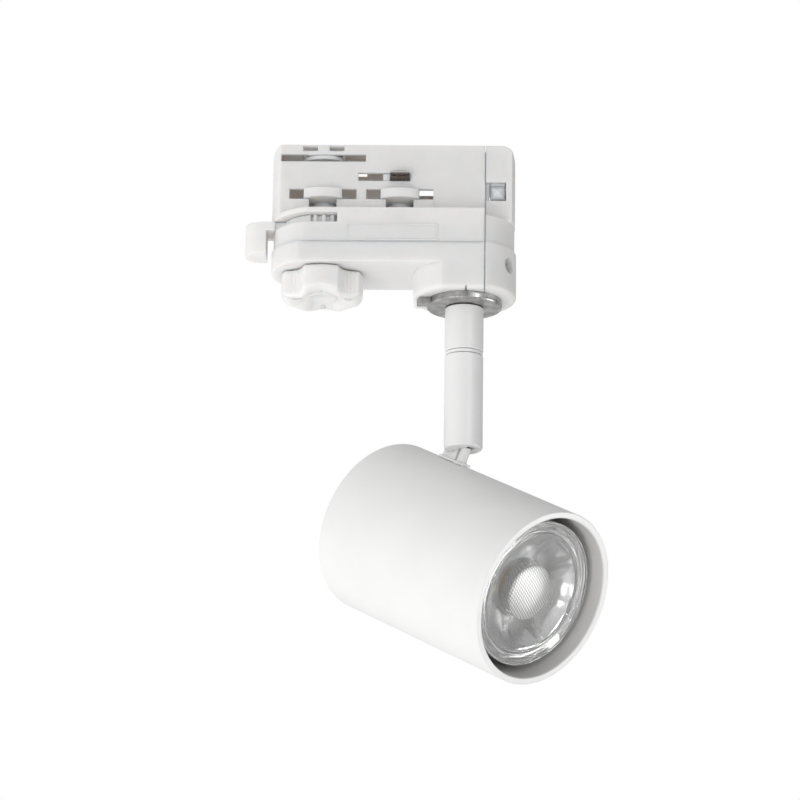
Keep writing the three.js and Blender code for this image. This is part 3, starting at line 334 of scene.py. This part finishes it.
CLEAR = clear_plastic("lamp_clear", (0.98, 0.98, 0.978), 0.0, 0.03, 0.82, 0.1, ior=1.6)
BUMPED = bumped_lens()
FROSTED = clear_plastic("lamp_bezel_clear", (0.86, 0.862, 0.86), 0.02, 0.06, 0.88, 0.02, ior=1.8)
BOARD = moulded("led_board_white", (0.8, 0.8, 0.77), 0.4, 0.5)
PHOSPHOR = phosphor()
LEADS = {
    "lead_live": insulation("lead_brown", (0.2, 0.09, 0.04)),
    "lead_neutral": insulation("lead_blue", (0.04, 0.13, 0.42)),
    "lead_earth": insulation("lead_green", (0.2, 0.36, 0.06)),
}
SILICONE = insulation("lead_white", (0.84, 0.835, 0.82))

# ------------------------------------------------------------------ mesh helpers


def soften(piece, width=None):
    """Rounds a piece's sharp edges by width millimetres and shades it smooth."""
    for polygon in piece.data.polygons:
        polygon.use_smooth = True
    if width:
        bevel = piece.modifiers.new("rounded edges", "BEVEL")
        bevel.width = width * MM
        bevel.segments = 3
        bevel.limit_method = "ANGLE"
        bevel.angle_limit = math.radians(30)
        bevel.use_clamp_overlap = True
        bevel.miter_outer = "MITER_ARC"
    weighted = piece.modifiers.new("flat faces stay flat", "WEIGHTED_NORMAL")
    weighted.weight = 60
    weighted.keep_sharp = True


def carry_over(name, surface, width, flat_angle=0.6):
    """Gives a CAD node its finished material and rounded edges; its own mesh isn't touched."""
    piece = frame["nodes"][name]
    for layer in ("custom_normal", "sharp_edge", "sharp_face"):
        if layer in piece.data.attributes:
            piece.data.attributes.remove(piece.data.attributes[layer])
    for each in piece.material_slots:
        each.material = surface
    weld = piece.modifiers.new("joined faces", "WELD")
    weld.merge_threshold = 0.004 * MM
    if flat_angle:
        flat = piece.modifiers.new("flat faces", "DECIMATE")
        flat.decimate_type = "DISSOLVE"
        flat.angle_limit = math.radians(flat_angle)
    soften(piece, width)


def new_piece(name, points, faces, place, surface, body, slot, *nodes):
    """A mesh piece made in a place's frame, which rides on a body and may replace CAD nodes."""
    mesh = bpy.data.meshes.new(name)
    mesh.from_pydata([place @ Vector(point) for point in points], [], faces)
    mesh.materials.append(surface)
    shape = bmesh.new()
    shape.from_mesh(mesh)
    bmesh.ops.recalc_face_normals(shape, faces=shape.faces)
    shape.to_mesh(mesh)
    shape.free()
    piece = bpy.data.objects.new(name, mesh)
    bpy.context.scene.collection.objects.link(piece)
    soften(piece)
    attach(piece, body)
    if nodes:
        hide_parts(*nodes)
    return piece


def filleted(profile):
    """A closed profile of (radius, along, fillet) corners with each corner rounded."""
    steps = 4
    points = []
    for i, (radius, along, fillet) in enumerate(profile):
        corner = Vector((radius, along))
        if not fillet:
            points.append(corner)
            continue
        before = Vector(profile[i - 1][:2])
        after = Vector(profile[(i + 1) % len(profile)][:2])
        start = corner + (before - corner).normalized() * fillet
        end = corner + (after - corner).normalized() * fillet
        for step in range(steps + 1):
            t = step / steps
            points.append(start * (1 - t) ** 2 + corner * 2 * t * (1 - t) + end * t * t)
    return points


def ring_at(radius, height, steps=288):
    """A row of points round Z. The radius may depend on the angle, and the height on both."""
    row = []
    for k in range(steps):
        angle = 2 * math.pi * k / steps
        reach = radius(angle) if callable(radius) else radius
        rise = height(reach, angle) if callable(height) else height
        row.append((reach * math.cos(angle), reach * math.sin(angle), rise))
    return row


def lofted(rings, cap_ends=True):
    """The points and faces of rings joined one to the next, with flat ends or open ones."""
    points = [point for ring in rings for point in ring]
    count = len(rings[0])
    faces = []
    for i in range(len(rings) - 1):
        for k in range(count):
            after = (k + 1) % count
            low, high = i * count, (i + 1) * count
            faces.append((low + k, low + after, high + after, high + k))
    if cap_ends:
        faces.append(tuple(range(count)))
        faces.append(tuple(range(len(points) - count, len(points))))
    return points, faces


def turned(profile, steps):
    """The points and faces of a closed profile turned round Z."""
    rings = [ring_at(radius, along, steps) for radius, along in filleted(profile)]
    points, faces = lofted(rings, cap_ends=False)
    last = len(points) - steps
    for k in range(steps):
        after = (k + 1) % steps
        faces.append((last + k, last + after, after, k))
    return points, faces


# ------------------------------------------------------------------ the adapter

carry_over("adapter_housing", ADAPTER, 0.25, flat_angle=None)
for node in ("base_cover", "end_cap"):
    carry_over(node, ADAPTER, 0.3)
for node in ("lock_lever", "lock_cam_left", "cam_gear", "lock_cam_right"):
    carry_over(node, MOVING, 0.25)
for node in ("phase_shaft", "phase_rotor", "latch_peg_front", "latch_peg_rear"):
    carry_over(node, MOVING, 0.2)
for node in ("end_screw", "latch_spring_front", "latch_spring_rear", "nipple_nut"):
    carry_over(node, ZINC, 0.15)
carry_over("neutral_contact", contact_metal(), 0.12)
carry_over("phase_contact", BRASS, 0.15)
carry_over("terminal_block", POLYAMIDE, 0.25)
for i in (1, 2, 3):
    carry_over(f"terminal_screw_{i}", BRASS, 0.1)
for node, surface in LEADS.items():
    carry_over(node, surface, None)


def label_frame():
    """A thin raised frame round the blank label field, in a lighter copy of the housing's plastic as a
    painted highlight.
    """
    sunk = 0.04
    section = ((0.0, None), (0.25, 0.8), (0.4, 1.0), (0.6, 1.0), (0.75, 0.8), (1.0, None))
    across = [
        (FRAME_WIDTH * share, FRAME_RISE * rise if rise else -sunk) for share, rise in section
    ]
    rings = []
    for x, z, out_x, out_z in (
        (LABEL["left"], LABEL["bottom"], 1, 1),
        (LABEL["right"], LABEL["bottom"], -1, 1),
        (LABEL["right"], LABEL["top"], -1, -1),
        (LABEL["left"], LABEL["top"], 1, -1),
    ):
        rings.append([
            (x + out_x * inward, LABEL["face"] - proud, z + out_z * inward) for inward, proud in across
        ])
    points, faces = lofted(rings + rings[:1], cap_ends=False)
    new_piece("label_frame", points, faces, UPRIGHT, LABEL_FRAME_HIGHLIGHT, "adapter", "adapter_plastic")


label_frame()

# ------------------------------------------------------------------ the phase knob


def off_axis(angle):
    """Degrees from the nearest lobe's middle, 0 to 45."""
    return abs((math.degrees(angle) + 45) % 90 - 45)


def knob_radius(angle, ribbed):
    """Four lobes on the axes, each an arc round the knob's centre, and ribbed hollows between."""
    past = (off_axis(angle) - LOBE_HALF) / (45 - LOBE_HALF)
    if past <= 0:
        return KNOB_REACH
    fall = KNOB_HOLLOW * (1 - (1 - past) ** 2)
    turn = math.degrees(angle) % 90 - 45
    wave = math.cos(math.pi * RIBS * turn / (45 - LOBE_HALF))
    return KNOB_REACH - fall - RIB_DEPTH * ribbed * (0.5 + 0.5 * wave) * min(1.0, 4 * past)


def eased(knots, at):
    """A smooth curve through (place, value) knots."""
    for (start, low), (end, high) in zip(knots, knots[1:]):
        if at <= end:
            share = (at - start) / (end - start)
            return low + (high - low) * share * share * (3 - 2 * share)
    return knots[-1][1]


def knob_end(angle, share):
    """Height of the knob's end: it sinks towards the hollows and rises at the lobes' middles."""
    lobe = eased(LOBE_KNOTS, share)
    hollow = eased(HOLLOW_KNOTS, share)
    away = math.sin(math.radians(2 * off_axis(angle))) ** 1.6
    return lobe + (hollow - lobe) * away


def phase_knob():
    """The knob: ribbed sides, a shaped end, and a plateau with a raised ring in its middle."""
    steps = 560

    def ring(share, height, ribbed):
        return ring_at(lambda a: share * knob_radius(a, ribbed), lambda _, a: height(a), steps)

    def side(a, share):
        return KNOB_TOP + (knob_end(a, 1.0) + 0.5 - KNOB_TOP) * share

    rings = [ring(0.97, lambda a: KNOB_TOP, 1), ring(1.0, lambda a: KNOB_TOP - 0.3, 1)]
    for row in range(1, 7):
        rings.append(ring(1.0, lambda a: side(a, row / 6), 1))
    rings.append(ring(0.997, lambda a: knob_end(a, 1.0) + 0.2, 0.7))
    rings.append(ring(0.985, lambda a: knob_end(a, 0.985), 0.4))
    for share in (0.96, 0.93, 0.9, 0.86, 0.82, 0.78, 0.74, 0.68, 0.62, 0.56, 0.5, 0.45):
        rings.append(ring(share, lambda a: knob_end(a, share), 0.1 * (share > 0.9)))
    disc = ((5.5, 0), (5.2, 0.03), (5.1, 0.25), (4.9, 0.34), (4.6, 0.34), (4.4, 0.1), (0.6, 0.08))
    rings += [ring_at(radius, KNOB_CENTRE - drop, steps) for radius, drop in disc]
    points, faces = lofted(rings)
    place = UPRIGHT @ Matrix.Translation((KNOB_X, 0, 0))
    new_piece("phase_dial", points, faces, place, MOVING, "selector", "moving_plastic", "phase_knob")


def dial_number(number, heading):
    """A raised numeral on one lobe of the knob's end, read from below."""
    curve = bpy.data.curves.new(f"dial_number_{number}", "FONT")
    curve.body = str(number)
    curve.align_x = "CENTER"
    curve.align_y = "CENTER"
    curve.size = NUMBER_SIZE * MM
    curve.extrude = 0.22 * MM
    curve.bevel_depth = 0.04 * MM
    text = bpy.data.objects.new("temporary", curve)
    bpy.context.scene.collection.objects.link(text)
    bpy.context.view_layer.update()
    mesh = bpy.data.meshes.new_from_object(text.evaluated_get(bpy.context.evaluated_depsgraph_get()))
    bpy.data.objects.remove(text)
    end = knob_end(0, NUMBER_REACH / KNOB_REACH) - 0.02
    place = (
        Matrix.Translation((KNOB_X * MM, 0, 0))
        @ Matrix.Rotation(heading, 4, "Z")
        @ Matrix.Translation((NUMBER_REACH * MM, 0, end * MM))
        @ Matrix.Rotation(math.radians(90), 4, "Z")
        @ Matrix.Rotation(math.pi, 4, "Y")
    )
    mesh.transform(place)
    mesh.materials.clear()
    mesh.materials.append(MOVING)
    piece = bpy.data.objects.new(f"dial_number_{number}", mesh)
    bpy.context.scene.collection.objects.link(piece)
    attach(piece, "selector")


phase_knob()
for number in range(4):
    dial_number(number, math.radians(-90 * number))

# ------------------------------------------------------------------ the stem and the hinge

for node in ("upper_stem", "lower_stem"):
    carry_over(node, STEM, 0.1)
carry_over("swivel_ring", STEM, 0.06)
carry_over("ring_washer", RING, 0.25)
for node in ("threaded_nipple", "swivel_nut"):
    carry_over(node, BRASS, 0.12)
for node in ("swivel_washer", "swivel_bolt", "hinge_screw", "hinge_washer_near", "hinge_washer_far"):
    carry_over(node, ZINC, 0.12)
carry_over("hinge_lug", TUBE, 0.2)
carry_over("lug_nut", ZINC, 0.12)


def lead_sleeve():
    """The sleeve that the lead runs in: a flange on the tube, a short cone and a plain tube."""
    flange = SLEEVE_RADIUS + 1
    profile = [
        (SLEEVE_BORE, SLEEVE_BOTTOM, 0.1),
        (SLEEVE_RADIUS, SLEEVE_BOTTOM, 0.2),
        (SLEEVE_RADIUS, TUBE_TOP - 0.15, 0),
        (flange, TUBE_TOP - 0.15, 0),
        (flange, TUBE_TOP + 0.45, 0.25),
        (SLEEVE_RADIUS + 0.25, TUBE_TOP + 0.9, 0.3),
        (SLEEVE_RADIUS, TUBE_TOP + 1.5, 0.3),
        (SLEEVE_RADIUS, SLEEVE_TOP, 0.3),
        (SLEEVE_BORE, SLEEVE_TOP, 0.15),
    ]
    place = SPOT @ Matrix.Translation((SLEEVE_X, 0, 0))
    points, faces = turned(profile, 64)
    new_piece("lead_grommet", points, faces, place, SILICONE, "spot", "lead_white", "lead_sleeve")


lead_sleeve()

# ------------------------------------------------------------------ the tube


def spot_tube():
    """The painted tube, with a rounder edge at the back than at the mouth."""
    span = TUBE_MOUTH - TUBE_BACK
    shares = (0.25, 0.5, 0.75)
    profile = [
        (TUBE_BORE, TUBE_BACK, 0.3),
        (TUBE_RADIUS, TUBE_BACK, 0.8),
        *((TUBE_RADIUS, TUBE_BACK + share * span, 0) for share in shares),
        (TUBE_RADIUS, TUBE_MOUTH, 0.35),
        (TUBE_BORE, TUBE_MOUTH, 0.35),
        *((TUBE_BORE, TUBE_MOUTH - share * span, 0) for share in shares),
    ]
    points, faces = turned(profile, 240)
    new_piece("tube_shell", points, faces, ON_TUBE, TUBE, "spot", "tube_paint", "spot_tube")


def tube_lining():
    """Painted shade inside the mouth: a darker copy of the tube paint."""
    inner, outer = TUBE_BORE - 0.12, TUBE_BORE + 0.03
    profile = [
        (inner, LINING_BACK, 0),
        (outer, LINING_BACK, 0),
        (outer, TUBE_MOUTH - 0.45, 0),
        (inner, TUBE_MOUTH - 0.6, 0.05),
    ]
    points, faces = turned(profile, 240)
    new_piece("tube_lining", points, faces, ON_TUBE, MOUTH_SHADE, "spot", "tube_paint")


spot_tube()
tube_lining()
carry_over("rear_cap", TUBE, 0.3)
carry_over("holder_bracket", ZINC, 0.2)
carry_over("lamp_socket", CERAMIC, 0.3)
for i in (1, 2):
    carry_over(f"rear_cap_screw_{i}", ZINC, 0.12)
    carry_over(f"socket_screw_{i}", ZINC, 0.12)
    carry_over(f"socket_contact_{i}", BRASS, 0.1)
    carry_over(f"lamp_lead_{i}", SILICONE, None)
    carry_over(f"lamp_pin_{i}", NICKEL, 0.15)

# ------------------------------------------------------------------ the lamp

carry_over("lamp_body", LAMP_PLASTIC, 0.25)
carry_over("lamp_base", CERAMIC, 0.25)
carry_over("led_board", BOARD, 0.15)
carry_over("led_emitter", PHOSPHOR, 0.2)


def lamp_bezel():
    """The clear rim of the lamp: fine ridges between an outer edge and an inner lip."""
    front = LAMP_FRONT
    first, last = 21.9, 24.3
    profile = [(21.2, front - 2.4, 0.1), (21.2, front - 0.55, 0.12), (21.6, front - 0.35, 0.12)]
    for i in range(RIM_RIDGES):
        start = first + (last - first) * i / RIM_RIDGES
        rise = 0.12 * i
        profile += [(start, front - 0.95 + rise, 0.06), (start + 0.35, front - 0.6 + rise, 0.06)]
    profile += [
        (24.35, front - 0.75, 0.08),
        (24.5, front, 0.1),
        (LAMP_RADIUS, front, 0.25),
        (LAMP_RADIUS, front - 2.4, 0.3),
    ]
    points, faces = turned(profile, 160)
    new_piece("lamp_rim", points, faces, ON_TUBE, FROSTED, "lamp", "lamp_clear", "lamp_bezel")


def hex_bump(x, y):
    """Height share of a field of round bumps on a hexagonal grid."""
    row = BUMP_PITCH * math.sqrt(3) / 2
    nearest = BUMP_PITCH
    for j in (math.floor(y / row), math.floor(y / row) + 1):
        shift = 0.5 * BUMP_PITCH * (j % 2)
        i = round((x - shift) / BUMP_PITCH)
        nearest = min(nearest, math.hypot(x - shift - i * BUMP_PITCH, y - j * row))
    return 1 - min(1.0, 2 * nearest / BUMP_PITCH) ** 2


def centre_height(radius, angle):
    """The front of the central lens: a crown under a field of fine bumps."""
    crown = CENTRE_FRONT - CENTRE_CROWN * (radius / CENTRE_RADIUS) ** 2
    edge = min(1.0, max(0.0, (CENTRE_RADIUS - 0.5 - radius) / 0.3))
    return crown + BUMP_HEIGHT * edge * hex_bump(radius * math.cos(angle), radius * math.sin(angle))


def petal_height(radius, angle):
    """The faceted funnel round the central lens: flat petals that meet at creases."""
    sector = 2 * math.pi / PETALS
    off = (angle % sector) - sector / 2
    flat = radius * math.cos(off) / math.cos(sector / 2 * 0.72)
    share = min(1.0, max(0.0, (flat - FUNNEL_INNER) / (FUNNEL_OUTER - FUNNEL_INNER)))
    return FUNNEL_BOTTOM + FUNNEL_RISE * share**1.35


def lamp_centre():
    """The bumped central lens on its round post, whose side is plain."""
    rings = [
        ring_at(CENTRE_RADIUS - 0.4, LAMP_FRONT - 6.3),
        ring_at(CENTRE_RADIUS, LAMP_FRONT - 6.1),
        ring_at(CENTRE_RADIUS, LAMP_FRONT - 2.3),
        ring_at(CENTRE_RADIUS - 0.12, LAMP_FRONT - 1.95),
    ]
    rows = 66
    rings += [ring_at((CENTRE_RADIUS - 0.3) * (1 - i / rows), centre_height) for i in range(rows)]
    points, faces = lofted(rings)
    piece = new_piece("lamp_centre", points, faces, ON_TUBE, BUMPED, "lamp", "lamp_clear")
    piece.data.materials.append(CLEAR)
    along = ON_TUBE.col[2].xyz.normalized()
    for polygon in piece.data.polygons:
        if abs(polygon.normal.dot(along)) < 0.5:
            polygon.material_index = 1


def lamp_optic():
    """The lens: a faceted funnel with a raised lip, and a conical back."""
    cone = LAMP_FRONT - 2.7 - LENS_BACK
    cone_bottom, cone_spread, pinhole = 11.5, 9.3, 0.4
    rings = [ring_at(pinhole, LENS_BACK), ring_at(cone_bottom - 0.2, LENS_BACK)]
    for share in (0.0, 0.25, 0.5, 0.75, 1.0):
        rings.append(ring_at(cone_bottom + cone_spread * share, LENS_BACK + 0.1 + cone * share))
    for inward, drop in ((0, 2.5), (0, 0.95), (0.15, 0.75), (0.5, 0.7), (0.8, 0.9), (1.1, 0.95)):
        rings.append(ring_at(LIP_RADIUS - inward, LAMP_FRONT - drop))
    rings += [ring_at(19.5 - 9.2 * i / 12, petal_height) for i in range(13)]
    rings += [ring_at(radius, LAMP_FRONT - 6.7) for radius in (10.0, pinhole)]
    points, faces = lofted(rings)
    new_piece("lamp_optic", points, faces, ON_TUBE, CLEAR, "lamp", "lamp_clear", "lamp_lens")


def reflector():
    """A bright fluted cup that backs the lens."""
    rows = 6
    back_radius, back = 11.9, LENS_BACK - 0.5
    front_radius, front = 21.7, LAMP_FRONT - 3.3

    def ring(share, offset):
        radius = back_radius + share * (front_radius - back_radius) + offset * 0.8
        depth = FLUTE_DEPTH * math.sin(math.pi * share)
        along = back + share * (front - back) - offset
        return ring_at(lambda a: radius + depth * abs(math.sin(FLUTES * a / 2)), along, 240)

    rings = [ring(i / rows, 0.0) for i in range(rows + 1)]
    rings += [ring(i / rows, REFLECTOR_THICKNESS) for i in range(rows, -1, -1)]
    points, faces = lofted(rings + rings[:1], cap_ends=False)
    new_piece("lamp_reflector", points, faces, ON_TUBE, MIRROR, "lamp", "contact_metal")


lamp_bezel()
lamp_optic()
lamp_centre()
reflector()

# ------------------------------------------------------------------ light, floor and camera

LIGHT_FROM = Vector((-0.62, -0.22, -0.75)).normalized()
MIDDLE = -0.09  # height of the object's middle
FLOOR_HEIGHT = -0.8
FLOOR_HALF = 6.0
FLOOR_COLOUR = (0.9, 0.9, 0.89)
CAMERA_PLACE = (0.008187, -1.238346, -0.454195)
CAMERA_TURN = (-1.385, 16.401, 0.791)  # degrees: heading, rise and roll
CAMERA_LENS = 169.74


def studio_world():
    """White behind the object; the light itself is stronger from one side."""
    world = bpy.data.worlds.new("studio")
    bpy.context.scene.world = world
    world.use_nodes = True
    tree = world.node_tree
    tree.nodes.clear()
    add, link = tree.nodes.new, tree.links.new
    direction = add("ShaderNodeVectorMath")
    direction.operation = "DOT_PRODUCT"
    direction.inputs[1].default_value = LIGHT_FROM
    link(add("ShaderNodeTexCoord").outputs["Generated"], direction.inputs[0])
    strength = add("ShaderNodeMapRange")
    for socket, value in {"From Min": -1, "From Max": 1, "To Min": 0.35, "To Max": 1.14}.items():
        strength.inputs[socket].default_value = value
    link(direction.outputs["Value"], strength.inputs["Value"])
    light = add("ShaderNodeBackground")
    link(strength.outputs["Result"], light.inputs["Strength"])
    backdrop = add("ShaderNodeBackground")
    backdrop.inputs["Strength"].default_value = 1.0
    for background in (light, backdrop):
        background.inputs["Color"].default_value = (1, 1, 1, 1)
    mix = add("ShaderNodeMixShader")
    link(add("ShaderNodeLightPath").outputs["Is Camera Ray"], mix.inputs["Fac"])
    link(light.outputs["Background"], mix.inputs[1])
    link(backdrop.outputs["Background"], mix.inputs[2])
    link(mix.outputs["Shader"], add("ShaderNodeOutputWorld").inputs["Surface"])


def soft_light(name, place, size, power, glossy_only=False):
    """A square area light aimed at the object's middle."""
    data = bpy.data.lights.new(name, "AREA")
    data.size = size
    data.energy = power
    light = bpy.data.objects.new(name, data)
    light.location = place
    aim = Vector((0, 0, MIDDLE)) - Vector(place)
    light.rotation_euler = aim.to_track_quat("-Z", "Y").to_euler()
    light.visible_diffuse = not glossy_only
    bpy.context.scene.collection.objects.link(light)


def floor():
    """A plain pale floor far below, which doesn't shade the object from below."""
    mesh = bpy.data.meshes.new("floor")
    signs = ((-1, -1), (1, -1), (1, 1), (-1, 1))
    corners = [(FLOOR_HALF * x, FLOOR_HALF * y, FLOOR_HEIGHT) for x, y in signs]
    mesh.from_pydata(corners, [], [(0, 1, 2, 3)])
    made = Surface("floor", FLOOR_COLOUR, 0.8, Emission_Color=(1, 1, 1, 1), Emission_Strength=0.4)
    made.colours(made.noise(400.0), tints(FLOOR_COLOUR, 0.01))
    mesh.materials.append(made.material)
    piece = bpy.data.objects.new("floor", mesh)
    bpy.context.scene.collection.objects.link(piece)
    piece.visible_diffuse = False
    piece.visible_glossy = False
    piece.visible_transmission = False
    piece.visible_shadow = False


def camera():
    """A long lens from in front and below, looking up at the object."""
    heading, rise, roll = (math.radians(angle) for angle in CAMERA_TURN)
    ahead = Vector((math.sin(heading) * math.cos(rise), math.cos(heading) * math.cos(rise), math.sin(rise)))
    right = Vector((math.cos(heading), -math.sin(heading), 0))
    up = right.cross(ahead)
    rolled_right = right * math.cos(roll) + up * math.sin(roll)
    rolled_up = up * math.cos(roll) - right * math.sin(roll)
    data = bpy.data.cameras.new("camera")
    data.lens = CAMERA_LENS
    data.sensor_width = 36.0
    data.clip_start = 0.05
    data.clip_end = 50
    eye = bpy.data.objects.new("camera", data)
    turn = Matrix((rolled_right, rolled_up, -ahead)).transposed().to_4x4()
    eye.matrix_world = Matrix.Translation(CAMERA_PLACE) @ turn
    bpy.context.scene.collection.objects.link(eye)
    bpy.context.scene.camera = eye


studio_world()
soft_light("key", (-0.75, -1.0, -0.65), 0.7, 3.0)
soft_light("lamp sheen", (1.357, -0.057, -0.596), 0.8, 4.0, glossy_only=True)
soft_light("lamp glint", (1.3, -0.03, -0.6), 0.25, 8.0, glossy_only=True)
soft_light("stem sheen", (0.9, -1.2, 0.2), 0.4, 5.0, glossy_only=True)
soft_light("top", (0.3, -0.4, 2.0), 2.0, 2.0)
floor()
camera()
bpy.context.scene.view_settings.view_transform = "Standard"
